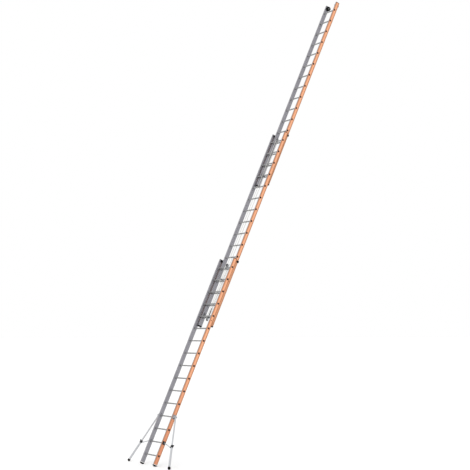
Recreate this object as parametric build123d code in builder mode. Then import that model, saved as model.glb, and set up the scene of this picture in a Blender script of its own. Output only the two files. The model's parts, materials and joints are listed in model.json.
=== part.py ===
"""Three-section rope-operated extension ladder with side outriggers, in millimetres.

The ladder is drawn upright, with X along the rungs to the climber's right, Y towards the wall and
Z along the stiles, and z = 0 at the centre of the shoes' rounded soles. write() then leans each
piece back by LEAN about X and sets the soles on the ground, so the saved frame has +Z vertical
and its origin on the ground midway between the two base shoes.
"""

import os
from math import atan2, cos, radians, sin, sqrt

from build123d import *

os.makedirs("parts", exist_ok=True)

# ---- stance -------------------------------------------------------------------------------
LEAN = 23.8  # degrees between the stiles and the vertical
SOLE_R = 60  # radius of the rounded soles, and height of the upright z = 0 above the ground

# ---- fits --------------------------------------------------------------------------------------
SEAT_GAP = 0.1  # between pieces that are fixed together
RUNNING_FIT = 0.08  # between a pin and the bore that turns on it
CUT_OVER = 1  # how far a cut runs past the faces that it opens

# ---- the three sections ---------------------------------------------------------------------
RUNG_COUNT = 16
RUNG_PITCH = 280
END_BELOW = 190  # stile below the first rung
END_ABOVE = 188  # stile above the last rung
STILE_LENGTH = END_BELOW + (RUNG_COUNT - 1) * RUNG_PITCH + END_ABOVE
BASE_HALF = 320  # half the width of the base section
SECTION_STEP = 47  # each section's rungs lie this far behind the ones below
WIDTH_STEP = 50  # each section is this much narrower on either side
HOOK_DROP = 14  # a raised section hangs this far below rung-to-rung level, on its hooks
BASE_BOTTOM = -30  # lower end of the base stiles
MID_RAISED = 11 * RUNG_PITCH - HOOK_DROP
TOP_RAISED = 12 * RUNG_PITCH - HOOK_DROP

# ---- stile profile: a rounded box with a shallow band down its outer face --------------------
STILE_DEPTH = 86
STILE_WIDTH = 34
STILE_CORNER = 5
STILE_WALL = 2.6
BAND_WIDTH = 38
BAND_DEPTH = 1.2

# ---- rungs: ribbed tubes through both walls of each stile ------------------------------------
RUNG_R = 14
RUNG_WALL = 2
RUNG_GROOVES = 10
GROOVE_WIDTH = 2.6
GROOVE_DEPTH = 0.8
BEAD_R = RUNG_R + 4
BEAD_LENGTH = 6
HOLE_R = RUNG_R + SEAT_GAP

# ---- plastic ends and guides -----------------------------------------------------------------
CAP_HEIGHT = 12
CAP_TAPER = 12  # degrees
CAP_INSET = 0.3
PLUG_LENGTH = 24
PLUG_CORNER = 1.5
PLUG_GAP = 0.4
RUN_GAP = 0.6  # running clearance of the guides
GUIDE_HEIGHT = 40
GUIDE_BELOW = 2  # upper guides stop this far below the end of their stile
GUIDE_LIP = 7
GUIDE_LIP_IN = 8.5  # how far the lips of the upper guides reach over the sliding stile
GUIDE_RELIEF = 6  # channel in the upper guides that lets bolt heads pass
GLIDE_HEIGHT = 80
GLIDE_ABOVE = 20  # glides start this far above the end of their stile
GLIDE_LIP_IN = 22  # how far the glides reach over the fixed stile
GLIDE_SETBACK = 3  # glides start this far behind the front of their stile

# ---- bolts -----------------------------------------------------------------------------------
BOLT_R = 4
BOLT_HEAD_R = 9
BOLT_HEAD = 5
BOLT_HOLE_R = BOLT_R + 0.2
NUT_R = 7
NUT_HEIGHT = 5
STOP_DROP = 105  # stop bolts sit this far below their rung
GLIDE_BOLT_RISE = 40  # glide bolts sit this far above the lower end of a section
GLIDE_BOLT_AHEAD = 28  # and this far in front of the middle of its stiles
GLIDE_BOLT_REACH = 8  # threaded this far into the glide

# ---- ropes and pulleys -----------------------------------------------------------------------
ROPE_R = 5
ROPE_GAP = 0.3  # between a rope and the groove it lies in
ROPE_Y = 23.5  # the strands that run between the base rungs and the mid rungs
HAUL_X = 60  # the hauling rope runs beside the centre line
HAUL_TURN_R = 30  # centre-line radius of the hauling rope over the base pulley
LOOP_TURN_R = SECTION_STEP - ROPE_Y  # centre-line radius of the loop rope over its pulleys
PULLEY_WIDTH = 16
PULLEY_FLANGE = 3
PULLEY_LIP = 2  # flanges stand this far beyond the rope's centre line
CHEEK_THICK = 3
CHEEK_GAP = 0.6
AXLE_R = 4
AXLE_HEAD = 3
HAUL_CHEEK_R = 17
LOOP_CHEEK_R = 14
HAUL_PULLEY_RISE = 52
LOOP_PULLEY_RISE = 48
STRAP_THICK = 3
STRAP_GAP = 0.2
CLAMP_SIZE = 26
CLAMP_SKIN = 2.4  # clamp material beyond the rope
TIE_RUNG = 15
ROPE_TAIL = 70

# ---- rung locks ------------------------------------------------------------------------------
LOCK_RISE = 38  # lock shaft above the first rung of its section
LOCK_SHAFT_R = 7
LOCK_THICK = 8
LOCK_PARKED = -110  # degrees that the hooks are swung up, clear of the rungs
LOCK_INSET = 21  # hook centre from the stile's inner face
LOCK_BOSS_R = 13
LOCK_END_GAP = 1  # from the ends of the shaft to the stiles
LOCK_PLATE_WIDTH = 30
LOCK_PLATE_HEIGHT = 46
LOCK_PLATE_CORNER = 5
LOCK_PLATE_THICK = 6
LOCK_PLATE_UP = 12  # middle of the bearing plate above the shaft
HOOK_BORE_R = RUNG_R + 1
HOOK_RIM = 9
HOOK_NOSE = 4  # how far the nose reaches below the centre of the rung
HOOK_HEEL = 8  # how far above the centre of the rung the heel stops

# ---- wall wheels, each on a shouldered bolt through its bracket and stile ---------------------
WHEEL_R = 52
WHEEL_WIDTH = 28
WHEEL_BELOW = 46  # wheel axle below the top end of the stiles
WHEEL_BACK = 34  # wheel axle behind the top rungs
WHEEL_GAP = 2
WHEEL_PLATE = 5
WHEEL_AXLE_R = 6
WHEEL_PLATE_R = 20
WHEEL_ROUND = 5  # rounding of the tread's edges
WHEEL_ARM_ROOT = 50  # bracket's root in front of the back of the stile
WHEEL_ARM_HALF = 36  # half the height of that root
WHEEL_HEAD = 5  # thickness of the axle's head
WHEEL_HEAD_OUT = 5  # and how far it stands out round the shank
WHEEL_HEAD_GAP = 2  # head clear of the wheel

# ---- outriggers ------------------------------------------------------------------------------
HINGE_OUT = 75  # upper hinge outside the stile's outer face
HINGE_RUNG = 4
LINK_OUT = 45  # link hinge outside the stile's outer face
LINK_RUNG = 2
FOOT_X = 955
FOOT_R = 30
TUBE_R = 16
TUBE_WALL = 2
SLEEVE_R = 22
SLEEVE_WALL = 2.5
SLEEVE_TOP = 655  # distances down the leg from its hinge
COLLAR_AT = 687
COLLAR_LENGTH = 50
COLLAR_R = 28
COLLAR_GAP = 0.4
LUG_OFFSET = 48  # the collar's link hole, square to the leg
TUBE_OVERLAP = 140
LINK_THICK = 6
LINK_HEIGHT = 22
EAR_THICK = 5
EAR_GAP = 1.5
PIN_R = 6
PIN_HEAD_R = 10
PIN_HEAD = 5
PLATE_THICK = 5
BRACKET_BOLT_RISE = (34, 26)  # bolts above and below the pin: upper bracket, lower bracket
PLATE_DEPTH = 66  # brackets' plates, along Y
PLATE_CORNER = 6
TOP_EAR = (18, 40, 46)  # radius, half the root's height, half the plate's height
BOTTOM_EAR = (14, 16, 35)
EAR_ROOT_IN = 2  # how deep the ears run into the plate's face
TUBE_ABOVE = 14  # leg tube above its hinge
SLEEVE_BUSH = 30
SLEEVE_INTO_FOOT = 6
SPIGOT_UP = 34  # foot's spigot inside the sleeve
SPIGOT_DOWN = 10  # and below the sleeve, into the ball
SPIGOT_GAP = 0.3
FOOT_FLANGE = 3
FOOT_FLANGE_THICK = 6
LUG_R = 12
KNOB_STEM_R = 6
KNOB_STEM = 10
KNOB_R = 17
KNOB_THICK = 16
KNOB_LOBES = 6
KNOB_SCOOP_AT = 18
KNOB_SCOOP_R = 4
KNOB_SEAT = 0.2


class Section:
    """One of the three ladder sections: its half width, depth positions and lower end."""

    def __init__(self, name, order, bottom, centre_behind):
        self.name = name
        self.half = BASE_HALF - order * WIDTH_STEP
        self.inner = self.half - STILE_WIDTH
        self.rung_y = order * SECTION_STEP
        self.stile_y = self.rung_y + centre_behind
        self.front = self.stile_y - STILE_DEPTH / 2
        self.back = self.stile_y + STILE_DEPTH / 2
        self.bottom = bottom
        self.top = bottom + STILE_LENGTH

    def rung(self, number):
        """Height of a rung, counted from 1 at the bottom."""
        return self.bottom + END_BELOW + (number - 1) * RUNG_PITCH


base = Section("base", 0, BASE_BOTTOM, -3)
mid = Section("mid", 1, BASE_BOTTOM + MID_RAISED, 15)
top = Section("top", 2, BASE_BOTTOM + MID_RAISED + TOP_RAISED, 15)
SOLE_Y = base.stile_y


def write(piece, name):
    """Lean a finished piece back, stand it on the ground and save it under its name."""
    leaning = piece.part.moved(Location((0, -SOLE_Y, 0))).rotate(Axis.X, -LEAN)
    leaning = leaning.moved(Location((0, 0, SOLE_R)))
    leaning.label = name
    export_step(leaning, f"parts/{name}.step")


def across(x):
    """Plane square to the rungs: its own x is Y and its own y is Z."""
    return Plane.YZ.offset(x)


def add_bolt(head_x, end_x, y, z, nutted):
    """A hexagon bolt along X, its head standing outside head_x, with or without a nut at end_x."""
    way = 1 if end_x > head_x else -1
    with BuildSketch(across(head_x)) as head:
        with Locations((y, z)):
            RegularPolygon(BOLT_HEAD_R, 6)
    extrude(head.sketch, amount=-way * BOLT_HEAD)
    with BuildSketch(across(head_x)) as shank:
        with Locations((y, z)):
            Circle(BOLT_R)
    extrude(shank.sketch, amount=end_x - head_x)
    if nutted:
        with BuildSketch(across(end_x)) as nut:
            with Locations((y, z)):
                RegularPolygon(NUT_R, 6)
        extrude(nut.sketch, amount=way * NUT_HEIGHT)


# ==== stiles, rungs and their plastic ends =====================================================
def outer_face(section):
    """How far out the bottom of the recessed band lies."""
    return section.half - BAND_DEPTH


def build_stile(section, side, bolt_centres):
    """A hollow stile with a hole through both walls for each rung and each bolt."""
    rung_centres = [(section.rung_y, section.rung(n + 1)) for n in range(RUNG_COUNT)]
    with BuildPart() as stile:
        with BuildSketch(Plane.XY.offset(section.bottom)):
            with Locations((side * (section.half - STILE_WIDTH / 2), section.stile_y)):
                RectangleRounded(STILE_WIDTH, STILE_DEPTH, STILE_CORNER)
                RectangleRounded(
                    STILE_WIDTH - 2 * STILE_WALL,
                    STILE_DEPTH - 2 * STILE_WALL,
                    STILE_CORNER - STILE_WALL,
                    mode=Mode.SUBTRACT,
                )
            with Locations((side * section.half, section.stile_y)):
                Rectangle(2 * BAND_DEPTH, BAND_WIDTH, mode=Mode.SUBTRACT)
        extrude(amount=STILE_LENGTH)
        with BuildSketch(across(side * section.inner)):
            with Locations(*rung_centres):
                Circle(HOLE_R)
            with Locations(*bolt_centres):
                Circle(BOLT_HOLE_R)
        extrude(amount=side * STILE_WIDTH, mode=Mode.SUBTRACT)
    return stile


def build_rungs(section):
    """Sixteen ribbed tubes, each flared against the inner faces of its two stiles."""
    reach = outer_face(section)
    with BuildPart() as rung:
        with BuildSketch(across(-reach)):
            Circle(RUNG_R)
            Circle(RUNG_R - RUNG_WALL, mode=Mode.SUBTRACT)
            with PolarLocations(RUNG_R, RUNG_GROOVES):
                Rectangle(2 * GROOVE_DEPTH, GROOVE_WIDTH, mode=Mode.SUBTRACT)
        extrude(amount=2 * reach)
        for side in (-1, 1):
            with BuildSketch(across(side * section.inner)):
                Circle(BEAD_R)
                Circle(RUNG_R - RUNG_WALL / 2, mode=Mode.SUBTRACT)
            extrude(amount=-side * BEAD_LENGTH)
    places = [(0, section.rung_y, section.rung(n + 1)) for n in range(RUNG_COUNT)]
    with BuildPart() as rungs:
        with Locations(*places):
            add(rung.part)
    return rungs


def add_plug(section, side, z, up):
    """A moulded block that fills the open end of a stile, up (1) or down (-1) from z."""
    with BuildSketch(Plane.XY.offset(z)) as plug:
        with Locations((side * (section.half - STILE_WIDTH / 2), section.stile_y)):
            RectangleRounded(
                STILE_WIDTH - 2 * STILE_WALL - 2 * PLUG_GAP - BAND_DEPTH,
                STILE_DEPTH - 2 * STILE_WALL - 2 * PLUG_GAP,
                PLUG_CORNER,
            )
    extrude(plug.sketch, amount=up * PLUG_LENGTH)


def add_cap(section, side, z, up):
    """A plug with a bevelled head, closing one end of one stile."""
    with BuildSketch(Plane.XY.offset(z)) as cap_head:
        with Locations((side * (section.half - STILE_WIDTH / 2), section.stile_y)):
            RectangleRounded(STILE_WIDTH - 2 * CAP_INSET, STILE_DEPTH - 2 * CAP_INSET, STILE_CORNER)
    extrude(cap_head.sketch, amount=up * CAP_HEIGHT, taper=CAP_TAPER)
    add_plug(section, side, z, -up)


hinge_z = base.rung(HINGE_RUNG)
link_hinge_z = base.rung(LINK_RUNG)
stop_places = {
    "base": (base.stile_y, base.rung(12) - STOP_DROP),
    "mid": (mid.stile_y, mid.rung(14) - STOP_DROP),
}
glide_places = {
    "mid": (mid.stile_y - GLIDE_BOLT_AHEAD, mid.bottom + GLIDE_BOLT_RISE),
    "top": (top.stile_y - GLIDE_BOLT_AHEAD, top.bottom + GLIDE_BOLT_RISE),
}
bracket_places = []
for pin_z, rise in zip((hinge_z, link_hinge_z), BRACKET_BOLT_RISE):
    bracket_places += [(base.stile_y, pin_z + rise), (base.stile_y, pin_z - rise)]
wheel_y = top.rung_y + WHEEL_BACK
wheel_z = top.top - WHEEL_BELOW
bolt_places = {
    "base": [stop_places["base"]] + bracket_places,
    "mid": [stop_places["mid"], glide_places["mid"]],
    "top": [glide_places["top"], (wheel_y, wheel_z)],
}

for section in (base, mid, top):
    for side, hand in ((-1, "left"), (1, "right")):
        stile = build_stile(section, side, bolt_places[section.name])
        write(stile, f"{section.name}_stile_{hand}")
    write(build_rungs(section), f"{section.name}_rungs")

with BuildPart() as base_end_caps:
    for side in (-1, 1):
        add_cap(base, side, base.top, 1)
write(base_end_caps, "base_end_caps")

for section in (mid, top):
    with BuildPart() as end_caps:
        for side in (-1, 1):
            add_cap(section, side, section.top, 1)
            add_cap(section, side, section.bottom, -1)
    write(end_caps, f"{section.name}_end_caps")

# ==== bolts ====================================================================================
with BuildPart() as base_bolts:
    for side in (-1, 1):
        y, z = stop_places["base"]
        add_bolt(side * outer_face(base), side * base.inner, y, z, True)
        for y, z in bracket_places:
            add_bolt(side * (base.half + PLATE_THICK), side * base.inner, y, z, True)
write(base_bolts, "base_bolts")

with BuildPart() as mid_bolts:
    for side in (-1, 1):
        y, z = stop_places["mid"]
        add_bolt(side * outer_face(mid), side * mid.inner, y, z, True)
        y, z = glide_places["mid"]
        add_bolt(side * mid.inner, side * (mid.half + GLIDE_BOLT_REACH), y, z, False)
write(mid_bolts, "mid_bolts")

with BuildPart() as top_bolts:
    for side in (-1, 1):
        y, z = glide_places["top"]
        add_bolt(side * top.inner, side * (top.half + GLIDE_BOLT_REACH), y, z, False)
write(top_bolts, "top_bolts")

# ==== shoes under the base stiles ==============================================================
SHOE_SIDE = sqrt(SOLE_R**2 - (STILE_DEPTH / 2) ** 2)  # drop of the flat sides from z = 0
TREAD_ANGLES = (-32, -16, 0, 16, 32)
TREAD_WIDTH = 4
TREAD_DEPTH = 3

with BuildPart() as base_shoes:
    for side in (-1, 1):
        with BuildSketch(across(side * base.inner)):
            with BuildLine():
                Polyline(
                    (base.front, -SHOE_SIDE),
                    (base.front, BASE_BOTTOM),
                    (base.back, BASE_BOTTOM),
                    (base.back, -SHOE_SIDE),
                )
                ThreePointArc(
                    (base.back, -SHOE_SIDE), (SOLE_Y, -SOLE_R), (base.front, -SHOE_SIDE)
                )
            make_face()
            for angle in TREAD_ANGLES:
                tread_y = SOLE_Y + SOLE_R * sin(radians(angle))
                tread_z = -SOLE_R * cos(radians(angle))
                with Locations(Location((tread_y, tread_z, 0), (0, 0, angle))):
                    Rectangle(TREAD_WIDTH, 2 * TREAD_DEPTH, mode=Mode.SUBTRACT)
        extrude(amount=side * STILE_WIDTH)
        add_plug(base, side, BASE_BOTTOM, 1)
write(base_shoes, "base_shoes")

# ==== guides that keep the sliding sections in line ============================================
def add_upper_guide(outer, inner, side):
    """A moulded channel inside an outer stile's top end, lipped round the next section."""
    near = side * (outer.inner - SEAT_GAP)
    slide = side * (inner.half + RUN_GAP)
    lip = slide - side * GUIDE_LIP_IN
    lip_y = inner.back + RUN_GAP
    start = outer.front + STILE_DEPTH / 4
    relief = slide + side * GUIDE_RELIEF
    with BuildSketch(Plane.XY.offset(outer.top - GUIDE_BELOW - GUIDE_HEIGHT)) as channel:
        with BuildLine():
            Polyline(
                (near, start),
                (near, lip_y + GUIDE_LIP),
                (lip, lip_y + GUIDE_LIP),
                (lip, lip_y),
                (slide, lip_y),
                (slide, inner.stile_y + 2 * BOLT_HEAD_R),
                (relief, inner.stile_y + 2 * BOLT_HEAD_R - GUIDE_RELIEF),
                (relief, inner.stile_y - 2 * BOLT_HEAD_R + GUIDE_RELIEF),
                (slide, inner.stile_y - 2 * BOLT_HEAD_R),
                (slide, start),
                close=True,
            )
        make_face()
    extrude(channel.sketch, amount=GUIDE_HEIGHT)


def add_foot_glide(inner, outer, side):
    """A glide on the foot of a sliding stile, lipped behind the stile that it runs on."""
    near = side * (inner.half + SEAT_GAP)
    slide = side * (outer.inner - RUN_GAP)
    lip = side * (outer.inner + GLIDE_LIP_IN)
    lip_y = outer.back + RUN_GAP
    with BuildSketch(Plane.XY.offset(inner.bottom + GLIDE_ABOVE)) as block:
        with BuildLine():
            Polyline(
                (near, inner.front + GLIDE_SETBACK),
                (slide, inner.front + GLIDE_SETBACK),
                (slide, lip_y),
                (lip, lip_y),
                (lip, lip_y + GUIDE_LIP),
                (near, lip_y + GUIDE_LIP),
                close=True,
            )
        make_face()
    extrude(block.sketch, amount=GLIDE_HEIGHT)
    with BuildSketch(across(side * inner.half)) as bolt_hole:
        with Locations(glide_places[inner.name]):
            Circle(BOLT_HOLE_R)
    extrude(bolt_hole.sketch, amount=side * (outer.inner - inner.half), mode=Mode.SUBTRACT)


with BuildPart() as base_guides:
    for side in (-1, 1):
        add_upper_guide(base, mid, side)
write(base_guides, "base_guides")

with BuildPart() as mid_guides:
    for side in (-1, 1):
        add_upper_guide(mid, top, side)
        add_foot_glide(mid, base, side)
write(mid_guides, "mid_guides")

with BuildPart() as top_guides:
    for side in (-1, 1):
        add_foot_glide(top, mid, side)
write(top_guides, "top_guides")

# ==== pulleys and what carries them ============================================================
CHEEK_IN = PULLEY_WIDTH / 2 + CHEEK_GAP
CHEEK_OUT = CHEEK_IN + CHEEK_THICK
STRAP_IN = RUNG_R + STRAP_GAP
STRAP_OUT = STRAP_IN + STRAP_THICK


def build_pulley(x, y, z, turn_r):
    """A grooved wheel for a rope whose centre line turns at turn_r, bored for its axle."""
    half = PULLEY_WIDTH / 2
    mouth = half - PULLEY_FLANGE
    bore_r = AXLE_R + RUNNING_FIT
    flange_r = turn_r + PULLEY_LIP
    with BuildPart() as pulley:
        with BuildSketch(Plane(origin=(x, y, z), x_dir=(1, 0, 0), z_dir=(0, 0, 1))):
            with BuildLine():
                Polyline(
                    (-mouth, flange_r),
                    (-half, flange_r),
                    (-half, bore_r),
                    (half, bore_r),
                    (half, flange_r),
                    (mouth, flange_r),
                )
                ThreePointArc(
                    (mouth, flange_r), (0, turn_r - ROPE_R - ROPE_GAP), (-mouth, flange_r)
                )
            make_face()
        revolve(axis=Axis((x, y, z), (1, 0, 0)))
    return pulley


def add_axle(x, y, z):
    """A pulley's axle, headed outside each cheek."""
    reach = CHEEK_OUT + AXLE_HEAD
    with BuildSketch(across(x - reach)) as shank:
        with Locations((y, z)):
            Circle(AXLE_R)
    extrude(shank.sketch, amount=2 * reach)
    for side in (-1, 1):
        with BuildSketch(across(x + side * (CHEEK_OUT + SEAT_GAP))) as axle_head:
            with Locations((y, z)):
                Circle(AXLE_R + AXLE_HEAD)
        extrude(axle_head.sketch, amount=side * AXLE_HEAD)


def add_pulley_bracket(x, rung_y, rung_z, y, z, reach):
    """Two cheeks that hold a pulley's axle, on a strap round a rung."""
    for side in (-1, 1):
        with BuildSketch(across(x + side * CHEEK_IN)) as cheek:
            with Locations((y, z)):
                Circle(reach)
            with BuildLine():
                Polyline(
                    (rung_y - STRAP_OUT, rung_z),
                    (rung_y + STRAP_OUT, rung_z),
                    (y + reach, z),
                    (y - reach, z),
                    close=True,
                )
            make_face()
            with Locations((rung_y, rung_z)):
                Circle(STRAP_OUT)
                Circle(STRAP_IN, mode=Mode.SUBTRACT)
            with Locations((y, z)):
                Circle(AXLE_R + SEAT_GAP, mode=Mode.SUBTRACT)
        extrude(cheek.sketch, amount=side * CHEEK_THICK)
    with BuildSketch(across(x - CHEEK_OUT)) as strap:
        with Locations((rung_y, rung_z)):
            Circle(STRAP_OUT)
            Circle(STRAP_IN, mode=Mode.SUBTRACT)
    extrude(strap.sketch, amount=2 * CHEEK_OUT)


haul_y = ROPE_Y - HAUL_TURN_R
haul_z = base.rung(RUNG_COUNT) + HAUL_PULLEY_RISE
loop_top_z = mid.rung(RUNG_COUNT) + LOOP_PULLEY_RISE
loop_low_z = mid.rung(1) - LOOP_PULLEY_RISE
back_y = mid.rung_y + LOOP_TURN_R

write(build_pulley(HAUL_X, haul_y, haul_z, HAUL_TURN_R), "base_pulley")
write(build_pulley(0, mid.rung_y, loop_top_z, LOOP_TURN_R), "mid_top_pulley")
write(build_pulley(0, mid.rung_y, loop_low_z, LOOP_TURN_R), "mid_bottom_pulley")

with BuildPart() as base_pulley_axle:
    add_axle(HAUL_X, haul_y, haul_z)
write(base_pulley_axle, "base_pulley_axle")

with BuildPart() as mid_pulley_axles:
    for z in (loop_top_z, loop_low_z):
        add_axle(0, mid.rung_y, z)
write(mid_pulley_axles, "mid_pulley_axles")

with BuildPart() as base_pulley_bracket:
    add_pulley_bracket(HAUL_X, base.rung_y, base.rung(RUNG_COUNT), haul_y, haul_z, HAUL_CHEEK_R)
write(base_pulley_bracket, "base_pulley_bracket")

with BuildPart() as mid_pulley_brackets:
    for number, z in ((RUNG_COUNT, loop_top_z), (1, loop_low_z)):
        add_pulley_bracket(0, mid.rung_y, mid.rung(number), mid.rung_y, z, LOOP_CHEEK_R)
write(mid_pulley_brackets, "mid_pulley_brackets")

# ==== ropes ====================================================================================
def build_strand(x, y, low, high):
    """A taut strand of rope along the stiles."""
    with BuildPart() as strand:
        with BuildSketch(Plane.XY.offset(low)):
            with Locations((x, y)):
                Circle(ROPE_R)
        extrude(amount=high - low)
    return strand


def add_turn(x, y, z, turn_r, up, tail):
    """Half a turn of rope over a pulley, or under it, with a tail down in front."""
    with BuildLine() as way:
        CenterArc((0, 0), turn_r, 0, 180) if up > 0 else CenterArc((0, 0), turn_r, 0, -180)
        if tail:
            Line((-turn_r, 0), (-turn_r, -tail))
    route = Plane(origin=(x, y, z), x_dir=(0, 1, 0), z_dir=(1, 0, 0)) * way.line
    with BuildSketch(Plane(origin=(x, y + turn_r, z), z_dir=(0, 0, up))) as round_rope:
        Circle(ROPE_R)
    sweep(round_rope.sketch, path=route)


def add_rope_clamp(x, rung_y, rung_z, rope_y):
    """A block that grips the rope beside a rung, strapped round that rung."""
    way = 1 if rope_y > rung_y else -1
    near = rung_y + way * STRAP_IN
    far = rope_y + way * (ROPE_R + CLAMP_SKIN)
    with BuildSketch(across(x - CLAMP_SIZE / 2)) as clamp:
        with Locations(((near + far) / 2, rung_z)):
            Rectangle(abs(far - near), CLAMP_SIZE)
        with Locations((rung_y, rung_z)):
            Circle(STRAP_OUT)
            Circle(STRAP_IN, mode=Mode.SUBTRACT)
    extrude(clamp.sketch, amount=CLAMP_SIZE)


clamp_half = CLAMP_SIZE / 2
base_clamp_z = base.rung(RUNG_COUNT)
top_clamp_z = top.rung(1)
tie_z = base.rung(TIE_RUNG)

write(build_strand(0, ROPE_Y, loop_low_z, base_clamp_z - clamp_half), "loop_rope_front_low")
write(build_strand(0, ROPE_Y, base_clamp_z + clamp_half, loop_top_z), "loop_rope_front_high")
write(build_strand(0, back_y, loop_low_z, top_clamp_z - clamp_half), "loop_rope_back_low")
write(build_strand(0, back_y, top_clamp_z + clamp_half, loop_top_z), "loop_rope_back_high")
write(build_strand(HAUL_X, ROPE_Y, mid.rung(1) + clamp_half, haul_z), "haul_rope_run")

with BuildPart() as loop_rope_turns:
    add_turn(0, mid.rung_y, loop_top_z, LOOP_TURN_R, 1, 0)
    add_turn(0, mid.rung_y, loop_low_z, LOOP_TURN_R, -1, 0)
write(loop_rope_turns, "loop_rope_turns")

with BuildPart() as haul_rope_turn:
    add_turn(HAUL_X, haul_y, haul_z, HAUL_TURN_R, 1, haul_z - tie_z + ROPE_TAIL)
write(haul_rope_turn, "haul_rope_turn")

tie_y = haul_y - HAUL_TURN_R
with BuildPart() as base_rope_clamps:
    add_rope_clamp(0, base.rung_y, base_clamp_z, ROPE_Y)
    add_rope_clamp(HAUL_X, base.rung_y, tie_z, tie_y)
    with BuildSketch(Plane.XY.offset(tie_z - CLAMP_SIZE)):
        with Locations((HAUL_X, tie_y)):
            Circle(ROPE_R + SEAT_GAP)
    extrude(amount=2 * CLAMP_SIZE, mode=Mode.SUBTRACT)
write(base_rope_clamps, "base_rope_clamps")

with BuildPart() as mid_rope_clamp:
    add_rope_clamp(HAUL_X, mid.rung_y, mid.rung(1), ROPE_Y)
write(mid_rope_clamp, "mid_rope_clamp")

with BuildPart() as top_rope_clamp:
    add_rope_clamp(0, top.rung_y, top_clamp_z, back_y)
write(top_rope_clamp, "top_rope_clamp")

# ==== rung locks ===============================================================================
HOOK_OUT = HOOK_BORE_R + HOOK_RIM
HOOK_CUT = HOOK_OUT + HOOK_HEEL  # width of the cuts that open the hook downwards


def build_lock(section, lower_rung_z):
    """Two J-hooks fixed on a cross shaft, swung up off the rungs behind which they run."""
    y, z = section.rung_y, section.rung(1) + LOCK_RISE
    rung_y = y - SECTION_STEP
    with BuildPart() as engaged:
        for side in (-1, 1):
            with BuildSketch(across(side * (section.inner - LOCK_INSET) - LOCK_THICK / 2)):
                with Locations((rung_y, lower_rung_z)):
                    Circle(HOOK_OUT)
                with BuildLine():
                    Polyline(
                        (rung_y, lower_rung_z + HOOK_OUT),
                        (y, z + LOCK_BOSS_R),
                        (y, z - LOCK_BOSS_R),
                        (rung_y, lower_rung_z),
                        close=True,
                    )
                make_face()
                with Locations((rung_y, lower_rung_z)):
                    Circle(HOOK_BORE_R, mode=Mode.SUBTRACT)
                with Locations((rung_y + HOOK_OUT / 2, lower_rung_z + HOOK_HEEL - HOOK_OUT)):
                    Rectangle(HOOK_CUT, 2 * HOOK_OUT, mode=Mode.SUBTRACT)
                with Locations((rung_y - HOOK_OUT / 2, lower_rung_z - HOOK_NOSE - HOOK_OUT)):
                    Rectangle(HOOK_CUT, 2 * HOOK_OUT, mode=Mode.SUBTRACT)
                with Locations((y, z)):
                    Circle(LOCK_BOSS_R)
            extrude(amount=LOCK_THICK)
        with BuildSketch(across(LOCK_END_GAP - section.inner)):
            with Locations((y, z)):
                Circle(LOCK_SHAFT_R)
        extrude(amount=2 * (section.inner - LOCK_END_GAP))
    with BuildPart() as lock:
        add(engaged.part.rotate(Axis((0, y, z), (1, 0, 0)), LOCK_PARKED))
    return lock


for section, caught_z in ((mid, base.rung(12)), (top, mid.rung(13))):
    write(build_lock(section, caught_z), f"{section.name}_lock")
    shaft_z = section.rung(1) + LOCK_RISE
    with BuildPart() as lock_brackets:
        for side in (-1, 1):
            with BuildSketch(across(side * (section.inner - SEAT_GAP))):
                with Locations((section.rung_y, shaft_z + LOCK_PLATE_UP)):
                    RectangleRounded(LOCK_PLATE_WIDTH, LOCK_PLATE_HEIGHT, LOCK_PLATE_CORNER)
                with Locations((section.rung_y, shaft_z)):
                    Circle(LOCK_SHAFT_R + RUNNING_FIT, mode=Mode.SUBTRACT)
            extrude(amount=-side * LOCK_PLATE_THICK)
    write(lock_brackets, f"{section.name}_lock_brackets")

# ==== wall wheels at the head of the top section ===============================================
plate_x = top.inner - SEAT_GAP
wheel_far_x = plate_x - WHEEL_PLATE - WHEEL_GAP
wheel_near_x = wheel_far_x - WHEEL_WIDTH

for side, hand in ((-1, "left"), (1, "right")):
    with BuildPart() as wall_wheel:
        with BuildSketch(across(side * wheel_near_x)):
            with Locations((wheel_y, wheel_z)):
                Circle(WHEEL_R)
                Circle(WHEEL_AXLE_R + RUNNING_FIT, mode=Mode.SUBTRACT)
        extrude(amount=side * WHEEL_WIDTH)
        rims = wall_wheel.edges().filter_by(GeomType.CIRCLE).sort_by(SortBy.RADIUS)[-2:]
        fillet(rims, WHEEL_ROUND)
    write(wall_wheel, f"wall_wheel_{hand}")

with BuildPart() as wheel_brackets:
    for side in (-1, 1):
        with BuildSketch(across(side * plate_x)):
            with Locations((wheel_y, wheel_z)):
                Circle(WHEEL_PLATE_R)
            with BuildLine():
                Polyline(
                    (top.back - WHEEL_ARM_ROOT, wheel_z - WHEEL_ARM_HALF),
                    (wheel_y, wheel_z - WHEEL_PLATE_R),
                    (wheel_y, wheel_z + WHEEL_PLATE_R),
                    (top.back - WHEEL_ARM_ROOT, wheel_z + WHEEL_ARM_HALF),
                    close=True,
                )
            make_face()
            with Locations((wheel_y, wheel_z)):
                Circle(WHEEL_AXLE_R + SEAT_GAP, mode=Mode.SUBTRACT)
        extrude(amount=-side * WHEEL_PLATE)
write(wheel_brackets, "wheel_brackets")

with BuildPart() as wheel_axles:
    for side in (-1, 1):
        head_x = wheel_near_x - WHEEL_HEAD_GAP
        spans = (
            (head_x - WHEEL_HEAD, head_x, WHEEL_AXLE_R + WHEEL_HEAD_OUT),
            (head_x - CUT_OVER, plate_x, WHEEL_AXLE_R),
            (plate_x - CUT_OVER, top.half + CUT_OVER, BOLT_R),
            (top.half, top.half + NUT_HEIGHT, NUT_R),
        )
        for start_x, end_x, radius in spans:
            with BuildSketch(across(side * start_x)):
                with Locations((wheel_y, wheel_z)):
                    Circle(radius)
            extrude(amount=side * (end_x - start_x))
write(wheel_axles, "wheel_axles")

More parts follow.
